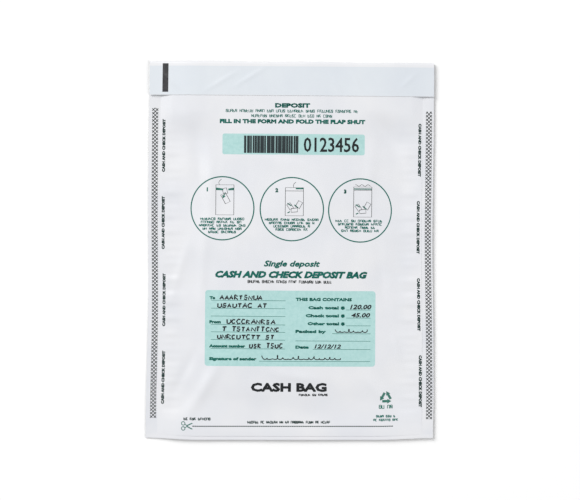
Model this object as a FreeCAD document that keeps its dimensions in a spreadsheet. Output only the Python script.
import FreeCAD, Part
import os
import Sketcher

# A film deposit bag lying on its back panel, with its closure flap folded over the mouth.
# Frame: millimetres, +X across the bag, +Y from the bottom fold to the mouth, +Z up from the
# surface that the bag lies on. The origin is the middle of the bag's outline on that surface.

# Each driving size: its alias in the sheet, its value in millimetres and what it is.
SIZES = (
    ("bag_width", 228.6, "outer width across both side welds (9 in)"),
    ("bag_length", 300.0, "bottom fold to top of the folded flap"),
    ("film_thickness", 0.2, "one film layer, thicker than the real film, which is taken as 0.075"),
    ("weld_width", 9.0, "each side weld, where front and back film are fused"),
    ("bottom_fold_depth", 3.0, "creased strip where the back film turns into the front film"),
    ("mouth_gap", 4.4, "inside height at the mouth"),
    ("pocket_gap", 9.0, "inside height of the pocket, where the film stands proud"),
    ("mouth_flat_half", 80.0, "half width of the level top at the mouth"),
    ("pocket_flat_half", 62.0, "half width of the level top over the pocket"),
    ("bottom_flat_half", 70.0, "half width of the level top at the bottom fold"),
    ("lip_setback", 2.4, "front panel's lip, back from the flap's hinge line"),
    ("shoulder_start", 85.0, "where the front panel starts to rise, up from the middle"),
    ("shoulder_end", 45.0, "where it reaches the pocket's height, up from the middle"),
    ("pocket_end", 95.0, "where it starts to fall, down from the middle"),
    ("flap_length", 27.4, "fold to free edge of the closure flap"),
    ("fold_tab", 0.3, "level start of the flap that belongs to the soft fold"),
    ("tape_width", 22.8, "security tape, across the flap"),
    ("tape_margin", 0.2, "bare film between the tape and the flap's free edge"),
    ("tape_end_margin", 1.2, "bare film at each end of the tape"),
    ("bond_thickness", 0.1, "adhesive that bonds the tape to the flap"),
    ("tape_thickness", 0.15, "green security tape"),
    ("void_thickness", 0.1, "hidden message layer that splits when the seal is lifted"),
    ("seal_thickness", 0.15, "pressure-sensitive closing adhesive"),
    ("seal_margin", 0.8, "bare tape along each edge of the closing adhesive"),
    ("liner_gap", 0.1, "slack between the liner and the closing adhesive"),
    ("liner_thickness", 0.2, "siliconed release liner"),
    ("liner_clearance", 0.4, "slack between the liner and the front panel"),
)

doc = FreeCAD.newDocument("deposit_bag")
sheet = doc.addObject("Spreadsheet::Sheet", "Sizes")
for row, (alias, value, meaning) in enumerate(SIZES, start=1):
    sheet.set(f"A{row}", meaning)
    sheet.set(f"B{row}", str(value))
    sheet.setAlias(f"B{row}", alias)
doc.recompute()

# Heights and stations that several sub-parts share, as expressions in the sheet's aliases.
FILM = "Sizes.film_thickness"
HALF_WIDTH = "(Sizes.bag_width / 2)"
HALF_LENGTH = "(Sizes.bag_length / 2)"
INNER_HALF = f"({HALF_WIDTH} - Sizes.weld_width)"
BOTTOM_Y = f"(Sizes.bottom_fold_depth - {HALF_LENGTH})"

LINER_Z = f"(2 * {FILM} + Sizes.mouth_gap + Sizes.liner_clearance)"
SEAL_Z = f"({LINER_Z} + Sizes.liner_thickness + Sizes.liner_gap)"
VOID_Z = f"({SEAL_Z} + Sizes.seal_thickness)"
TAPE_Z = f"({VOID_Z} + Sizes.void_thickness)"
BOND_Z = f"({TAPE_Z} + Sizes.tape_thickness)"
FLAP_Z = f"({BOND_Z} + Sizes.bond_thickness)"

FOLD_RADIUS = f"(({FLAP_Z} + {FILM}) / 2)"
HINGE_Y = f"({HALF_LENGTH} - {FOLD_RADIUS})"
LIP_Y = f"({HINGE_Y} - Sizes.lip_setback)"
FLAP_FREE_Y = f"({HALF_LENGTH} - Sizes.flap_length)"
TAPE_FREE_Y = f"({FLAP_FREE_Y} + Sizes.tape_margin)"

SUB_PARTS = []


def keep(sub_part, label):
    """Label a finished object as the sub-part of this name, to be written at the end."""
    sub_part.Label = label
    SUB_PARTS.append(sub_part)
    return sub_part


# --- Flat layers -------------------------------------------------------------------------------


def flat_layer(label, half_width, y_low, y_length, z_low, thickness):
    """A rectangular layer, centred across the bag, with every size an expression."""
    layer = doc.addObject("Part::Box", label)
    layer.setExpression("Length", f"2 * {half_width}")
    layer.setExpression("Width", y_length)
    layer.setExpression("Height", thickness)
    layer.setExpression("Placement.Base.x", f"-1 * {half_width}")
    layer.setExpression("Placement.Base.y", y_low)
    layer.setExpression("Placement.Base.z", z_low)
    return keep(layer, label)


def side_weld(label, x_low):
    """One fused strip, two films thick, from the bottom fold to the front panel's lip."""
    weld = doc.addObject("Part::Box", label)
    weld.setExpression("Length", "Sizes.weld_width")
    weld.setExpression("Width", f"{LIP_Y} - {BOTTOM_Y}")
    weld.setExpression("Height", f"2 * {FILM}")
    weld.setExpression("Placement.Base.x", x_low)
    weld.setExpression("Placement.Base.y", BOTTOM_Y)
    return keep(weld, label)


def back_panel():
    """The film that the bag lies on: pocket width up to the lip, then the full width."""
    pocket = doc.addObject("Part::Box", "back_pocket_sheet")
    pocket.setExpression("Length", f"2 * {INNER_HALF}")
    pocket.setExpression("Width", f"{LIP_Y} - {BOTTOM_Y}")
    pocket.setExpression("Height", FILM)
    pocket.setExpression("Placement.Base.x", f"-1 * {INNER_HALF}")
    pocket.setExpression("Placement.Base.y", BOTTOM_Y)
    head = doc.addObject("Part::Box", "back_head_sheet")
    head.setExpression("Length", f"2 * {HALF_WIDTH}")
    head.setExpression("Width", f"{HINGE_Y} - {LIP_Y}")
    head.setExpression("Height", FILM)
    head.setExpression("Placement.Base.x", f"-1 * {HALF_WIDTH}")
    head.setExpression("Placement.Base.y", LIP_Y)
    panel = doc.addObject("Part::Fuse", "back_panel")
    panel.Base = pocket
    panel.Tool = head
    panel.Refine = True
    return keep(panel, "back_panel")


# --- Sketched pieces ---------------------------------------------------------------------------

# Sketcher's numbers for the origin point, the upright axis and the two ends of a line.
SKETCH_ORIGIN = (-1, 1)
UPRIGHT_AXIS = -2
START, END = 1, 2

# Where a section's corners are first drawn, before its driving sizes move them.
DRAWN_WELD, DRAWN_FLAT = 105.0, 60.0
DRAWN_LOW, DRAWN_HIGH, DRAWN_FILM = 1.0, 5.0, 1.0


def new_body(label):
    """An empty PartDesign body for the sub-part of this name."""
    return keep(doc.addObject("PartDesign::Body", label), label)


def new_sketch(body, name, role, offset="0"):
    """A sketch on one of the body's own origin planes, moved along that plane's normal."""
    sketch = body.newObject("Sketcher::SketchObject", name)
    plane = next(feature for feature in body.Origin.OriginFeatures if feature.Role == role)
    sketch.AttachmentSupport = [(plane, "")]
    sketch.MapMode = "FlatFace"
    sketch.setExpression("AttachmentOffset.Base.z", offset)
    return sketch


def bind(sketch, kind, references, start_value, expression):
    """A driving size in a sketch, bound to an expression of the sheet's aliases."""
    index = sketch.addConstraint(Sketcher.Constraint(kind, *references, start_value))
    sketch.setExpression(f"Constraints[{index}]", expression)


def closed_outline(sketch, points):
    """Straight edges through the points in turn and back to the first."""
    following = points[1:] + points[:1]
    for (x_from, y_from), (x_to, y_to) in zip(points, following):
        start = FreeCAD.Vector(x_from, y_from, 0)
        end = FreeCAD.Vector(x_to, y_to, 0)
        sketch.addGeometry(Part.LineSegment(start, end), False)
    count = len(points)
    for edge in range(count):
        ends = (edge, END, (edge + 1) % count, START)
        sketch.addConstraint(Sketcher.Constraint("Coincident", *ends))


def panel_section(body, name, station, flat_half, gap):
    """The front panel's section at one station: level in the middle, sloping to the welds.

    The eight corners run along the inner face from left to right, then back along the outer
    face. Each left corner mirrors its right one, so only the right ones are dimensioned.
    """
    sketch = new_sketch(body, name, "XZ_Plane", f"-1 * {station}")
    half_widths = (-DRAWN_WELD, -DRAWN_FLAT, DRAWN_FLAT, DRAWN_WELD)
    heights = (DRAWN_LOW, DRAWN_HIGH, DRAWN_HIGH, DRAWN_LOW)
    inner = list(zip(half_widths, heights))
    outer = [(x, y + DRAWN_FILM) for x, y in reversed(inner)]
    closed_outline(sketch, inner + outer)
    for left, right in ((0, 3), (1, 2), (7, 4), (6, 5)):
        mirrored = (left, START, right, START, UPRIGHT_AXIS)
        sketch.addConstraint(Sketcher.Constraint("Symmetric", *mirrored))
    corners = (
        (3, INNER_HALF, FILM),
        (2, flat_half, f"{FILM} + {gap}"),
        (5, flat_half, f"2 * {FILM} + {gap}"),
        (4, INNER_HALF, f"2 * {FILM}"),
    )
    for edge, across, height in corners:
        corner = (*SKETCH_ORIGIN, edge, START)
        bind(sketch, "DistanceX", corner, DRAWN_FLAT, across)
        bind(sketch, "DistanceY", corner, DRAWN_LOW + DRAWN_FILM, height)
    return sketch


def front_panel():
    """The printed film: level over the mouth, proud over the pocket, flat at the bottom."""
    body = new_body("front_panel")
    sections = (
        ("lip", LIP_Y, "Sizes.mouth_flat_half", "Sizes.mouth_gap"),
        ("shoulder_start", "Sizes.shoulder_start", "Sizes.mouth_flat_half", "Sizes.mouth_gap"),
        ("shoulder_end", "Sizes.shoulder_end", "Sizes.pocket_flat_half", "Sizes.pocket_gap"),
        ("pocket_end", "(-1 * Sizes.pocket_end)", "Sizes.pocket_flat_half", "Sizes.pocket_gap"),
        ("bottom", BOTTOM_Y, "Sizes.bottom_flat_half", "0"),
    )
    sketches = [panel_section(body, f"section_{name}", *rest) for name, *rest in sections]
    loft = body.newObject("PartDesign::AdditiveLoft", "front_panel_loft")
    loft.Profile = sketches[0]
    loft.Sections = sketches[1:]
    loft.Ruled = True
    return body


# --- Creases -----------------------------------------------------------------------------------


def rod_across(name, radius, centre_y, centre_z, sweep=360):
    """A round rod across the bag. A sweep of 180 keeps the half that faces the mouth."""
    rod = doc.addObject("Part::Cylinder", name)
    rod.Placement.Rotation = FreeCAD.Rotation(FreeCAD.Vector(0, 1, 0), 90)
    rod.Angle = sweep
    rod.setExpression("Radius", radius)
    rod.setExpression("Height", f"2 * {HALF_WIDTH}")
    rod.setExpression("Placement.Base.x", f"-1 * {HALF_WIDTH}")
    rod.setExpression("Placement.Base.y", centre_y)
    rod.setExpression("Placement.Base.z", centre_z)
    return rod


def flap_fold():
    """The film between back panel and flap: half a tube, then the level start of the flap."""
    outside = rod_across("fold_outside", FOLD_RADIUS, HINGE_Y, FOLD_RADIUS, sweep=180)
    inside = rod_across("fold_inside", f"{FOLD_RADIUS} - {FILM}", HINGE_Y, FOLD_RADIUS)
    bend = doc.addObject("Part::Cut", "fold_bend")
    bend.Base = outside
    bend.Tool = inside
    tab = doc.addObject("Part::Box", "fold_tab")
    tab.setExpression("Length", f"2 * {HALF_WIDTH}")
    tab.setExpression("Width", "Sizes.fold_tab")
    tab.setExpression("Height", FILM)
    tab.setExpression("Placement.Base.x", f"-1 * {HALF_WIDTH}")
    tab.setExpression("Placement.Base.y", f"{HINGE_Y} - Sizes.fold_tab")
    tab.setExpression("Placement.Base.z", FLAP_Z)
    fold = doc.addObject("Part::Fuse", "flap_fold")
    fold.Base = bend
    fold.Tool = tab
    return keep(fold, "flap_fold")


def bottom_fold():
    """The creased end of the bag: two films pressed together round a tight half turn."""
    pressed = doc.addObject("Part::Box", "pressed_strip")
    pressed.setExpression("Length", f"2 * {HALF_WIDTH}")
    pressed.setExpression("Width", f"Sizes.bottom_fold_depth - {FILM}")
    pressed.setExpression("Height", f"2 * {FILM}")
    pressed.setExpression("Placement.Base.x", f"-1 * {HALF_WIDTH}")
    pressed.setExpression("Placement.Base.y", f"{FILM} - {HALF_LENGTH}")
    nose = rod_across("pressed_nose", FILM, f"{FILM} - {HALF_LENGTH}", FILM)
    fold = doc.addObject("Part::Fuse", "bottom_fold")
    fold.Base = pressed
    fold.Tool = nose
    return keep(fold, "bottom_fold")


# --- The assembly ------------------------------------------------------------------------------

back_panel()
front_panel()
bottom_fold()
side_weld("left_side_weld", f"-1 * {HALF_WIDTH}")
side_weld("right_side_weld", INNER_HALF)
flap_fold()

TAPE_HALF = f"({HALF_WIDTH} - Sizes.tape_end_margin)"
SEAL_HALF = f"({TAPE_HALF} - Sizes.seal_margin)"
SEAL_Y = f"({TAPE_FREE_Y} + Sizes.seal_margin)"
SEAL_WIDTH = "Sizes.tape_width - 2 * Sizes.seal_margin"
FLAP_REACH = f"{HINGE_Y} - Sizes.fold_tab - {FLAP_FREE_Y}"

# Each layer under the flap: its name, half width, free edge, width along the bag, height, thickness.
FLAP_LAYERS = (
    ("flap_film", HALF_WIDTH, FLAP_FREE_Y, FLAP_REACH, FLAP_Z, FILM),
    ("tape_bond_adhesive", TAPE_HALF, TAPE_FREE_Y, "Sizes.tape_width", BOND_Z, "Sizes.bond_thickness"),
    ("security_tape", TAPE_HALF, TAPE_FREE_Y, "Sizes.tape_width", TAPE_Z, "Sizes.tape_thickness"),
    ("void_message_layer", SEAL_HALF, SEAL_Y, SEAL_WIDTH, VOID_Z, "Sizes.void_thickness"),
    ("seal_adhesive", SEAL_HALF, SEAL_Y, SEAL_WIDTH, SEAL_Z, "Sizes.seal_thickness"),
    ("release_liner", TAPE_HALF, TAPE_FREE_Y, "Sizes.tape_width", LINER_Z, "Sizes.liner_thickness"),
)
for layer in FLAP_LAYERS:
    flat_layer(*layer)

doc.recompute()
for item in doc.Objects:
    if {"Invalid", "Error"} & set(item.State):
        raise RuntimeError(f"{item.Label} did not recompute: {item.State}")
for sub_part in SUB_PARTS:
    if sub_part.Shape.isNull() or not sub_part.Shape.isValid():
        raise RuntimeError(f"{sub_part.Label} has no valid shape")

os.makedirs("parts", exist_ok=True)
for sub_part in SUB_PARTS:
    shape = sub_part.Shape
    box = shape.BoundBox
    shape.exportStep(f"parts/{sub_part.Label}.step")
    print(
        f"{sub_part.Label}: {len(shape.Solids)} solid, {shape.Volume:.0f} mm3, "
        f"z {box.ZMin:.2f} to {box.ZMax:.2f}, y {box.YMin:.1f} to {box.YMax:.1f}"
    )
